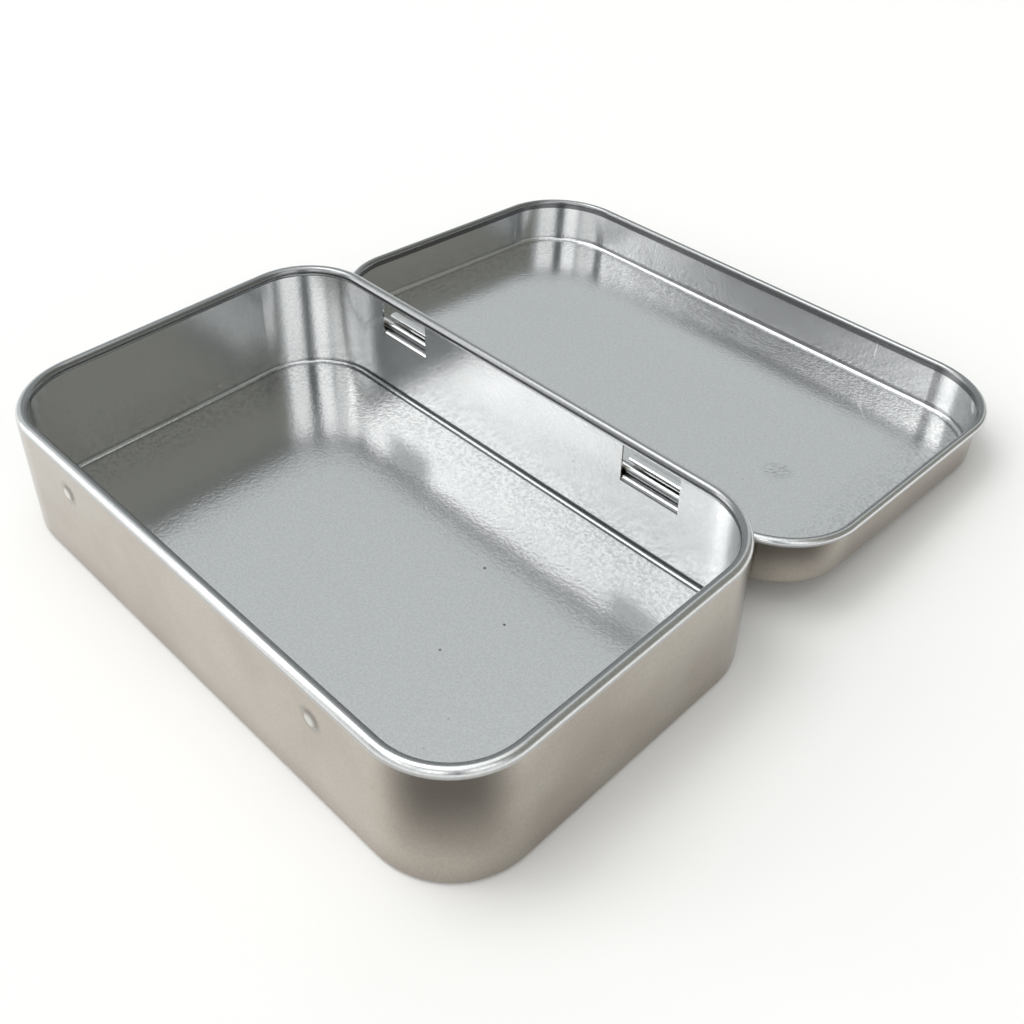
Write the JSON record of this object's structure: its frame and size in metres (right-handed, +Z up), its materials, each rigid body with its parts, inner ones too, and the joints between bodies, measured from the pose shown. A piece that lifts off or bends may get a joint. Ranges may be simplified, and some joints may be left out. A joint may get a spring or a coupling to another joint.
{
  "type": "mint tin",
  "caption": "Small rectangular hinged tin of plain tinplate with rounded corners, a shallow lid turned right back on rolled hinge tongues, curled rims and latch pips",
  "frame": {"origin": "centre of the base's flat underside, on the surface that the tin stands on", "axes": "+X along the tin's long side, to the right seen from the front; +Y from the latch side to the hinge side; +Z up. Stored with the lid open"},
  "size_m": [0.096, 0.1179, 0.0191],
  "materials": {
    "base_tinplate": "plain bright tinplate with a faint rolled grain",
    "lid_tinplate": "plain bright tinplate with a faint rolled grain and light scuffs"
  },
  "bodies": {
    "base": {"base_pan": "base_tinplate"},
    "lid": {"lid_pan": "lid_tinplate"}
  },
  "joints": [
    {"name": "lid_hinge", "type": "hinge", "parent": "base", "child": "lid", "pos_m": [0, 0.02953, 0.01175], "axis": [1, 0, 0], "range_deg": [0, 184.07]}
  ]
}
